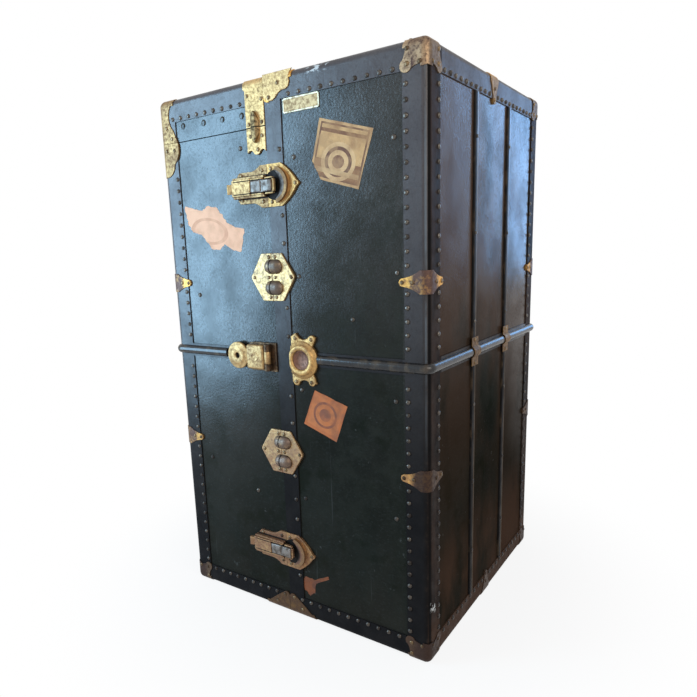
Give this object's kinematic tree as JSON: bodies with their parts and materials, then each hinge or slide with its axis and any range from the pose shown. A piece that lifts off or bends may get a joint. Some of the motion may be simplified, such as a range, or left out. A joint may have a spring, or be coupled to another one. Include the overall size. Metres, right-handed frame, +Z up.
{
  "type": "wardrobe trunk",
  "caption": "Upright wardrobe trunk with nailed fibre edges and brass fittings; opens like a book onto drawers and a hanger trolley, with a lift-top lid.",
  "frame": {"origin": "on the floor, under the middle of the closed trunk", "axes": "+Z up, -Y towards the front with the lock, +X towards the drawer half"},
  "size_m": [0.5912, 0.5752, 1.016],
  "materials": {
    "panel_fibre": "dark green-black painted fibre over ply, satin, worn",
    "binding_fibre": "charcoal vulcanised fibre, satin",
    "band_wood": "dark stained, worn edges",
    "brass_sheet": "aged brass plate with brown patina",
    "brass_cast": "aged cast brass with brown patina",
    "steel": "dull steel",
    "inner_wood": "varnished"
  },
  "bodies": {
    "drawer_half": {"right_front_panel": "panel_fibre", "right_back_panel": "panel_fibre", "right_side_panel": "panel_fibre", "right_top_panel": "panel_fibre", "right_bottom_panel": "panel_fibre", "right_binding": "binding_fibre", "right_band": "band_wood", "right_slats": "band_wood", "right_band_clamps": "brass_sheet", "right_corner_caps": "brass_sheet", "right_edge_clamps": "brass_sheet", "latch_catches": "brass_cast", "dowel_sockets": "brass_cast", "lock_keeper": "brass_cast", "back_hinges_right": "steel", "hat_shelf": "inner_wood", "drawer_runners": "inner_wood"},
    "hanger_half": {"left_front_panel": "panel_fibre", "left_back_panel": "panel_fibre", "left_side_panel": "panel_fibre", "left_bottom_panel": "panel_fibre", "left_binding": "binding_fibre", "left_band": "band_wood", "left_slats": "band_wood", "left_band_clamps": "brass_sheet", "left_corner_caps": "brass_sheet", "left_edge_clamps": "brass_sheet", "left_lid_plates": "brass_sheet", "lid_dowel_plate": "brass_sheet", "latch_bases": "brass_cast", "dowel_pins": "brass_cast", "hasp_base": "brass_cast", "back_hinges_left": "steel", "lid_hinges_lower": "steel", "trolley_rails": "steel"},
    "lid": {"lid_front_panel": "panel_fibre", "lid_back_panel": "panel_fibre", "lid_side_panel": "panel_fibre", "lid_top_panel": "panel_fibre", "lid_binding": "binding_fibre", "lid_slats": "band_wood", "lid_corner_caps": "brass_sheet", "lid_strap": "brass_sheet", "lid_hinges_upper": "steel"},
    "top_lever": {"latch_lever_top": "brass_cast"},
    "top_link": {"latch_link_top": "steel"},
    "bottom_lever": {"latch_lever_bottom": "brass_cast"},
    "bottom_link": {"latch_link_bottom": "steel"},
    "hasp": {"hasp": "brass_cast"},
    "trolley": {"hanger_trolley": "steel", "hangers": "inner_wood", "hanger_hooks": "steel"},
    "drawer_1": {"drawer_1": "inner_wood", "drawer_pulls_1": "brass_cast"},
    "drawer_2": {"drawer_2": "inner_wood", "drawer_pulls_2": "brass_cast"},
    "drawer_3": {"drawer_3": "inner_wood", "drawer_pulls_3": "brass_cast"},
    "drawer_4": {"drawer_4": "inner_wood", "drawer_pulls_4": "brass_cast"}
  },
  "joints": [
    {"name": "half_swing", "type": "hinge", "parent": "drawer_half", "child": "hanger_half", "pos_m": [-0.02, 0.28, 0.5], "axis": [0, 0, -1], "range_deg": [0, 160]},
    {"name": "lid_lift", "type": "hinge", "parent": "hanger_half", "child": "lid", "pos_m": [-0.2893, 0, 0.935], "axis": [0, -1, 0], "range_deg": [0, 95]},
    {"name": "hasp_fold", "type": "hinge", "parent": "hanger_half", "child": "hasp", "pos_m": [-0.0367, -0.282, 0.528], "axis": [0, 0, 1], "range_deg": [0, 178]},
    {"name": "trolley_slide", "type": "slide", "parent": "hanger_half", "child": "trolley", "axis": [1, 0, 0], "range_m": [0, 0.12]},
    {"name": "top_lever_turn", "type": "hinge", "parent": "hanger_half", "child": "top_lever", "pos_m": [-0.028, -0.2805, 0.835], "axis": [0, 0, 1], "range_deg": [0, 110]},
    {"name": "top_link_turn", "type": "hinge", "parent": "top_lever", "child": "top_link", "pos_m": [-0.042, -0.2805, 0.835], "axis": [0, 0, 1], "range_deg": [-110, 0]},
    {"name": "bottom_lever_turn", "type": "hinge", "parent": "hanger_half", "child": "bottom_lever", "pos_m": [-0.028, -0.2805, 0.141], "axis": [0, 0, 1], "range_deg": [0, 110]},
    {"name": "bottom_link_turn", "type": "hinge", "parent": "bottom_lever", "child": "bottom_link", "pos_m": [-0.042, -0.2805, 0.141], "axis": [0, 0, 1], "range_deg": [-110, 0]},
    {"name": "drawer_1_slide", "type": "slide", "parent": "drawer_half", "child": "drawer_1", "axis": [-1, 0, 0], "range_m": [0, 0.2]},
    {"name": "drawer_2_slide", "type": "slide", "parent": "drawer_half", "child": "drawer_2", "axis": [-1, 0, 0], "range_m": [0, 0.2]},
    {"name": "drawer_3_slide", "type": "slide", "parent": "drawer_half", "child": "drawer_3", "axis": [-1, 0, 0], "range_m": [0, 0.2]},
    {"name": "drawer_4_slide", "type": "slide", "parent": "drawer_half", "child": "drawer_4", "axis": [-1, 0, 0], "range_m": [0, 0.2]}
  ],
  "couplings": [
    {"joint": "top_link_turn", "follows": "top_lever_turn", "ratio": -1},
    {"joint": "bottom_link_turn", "follows": "bottom_lever_turn", "ratio": -1}
  ]
}
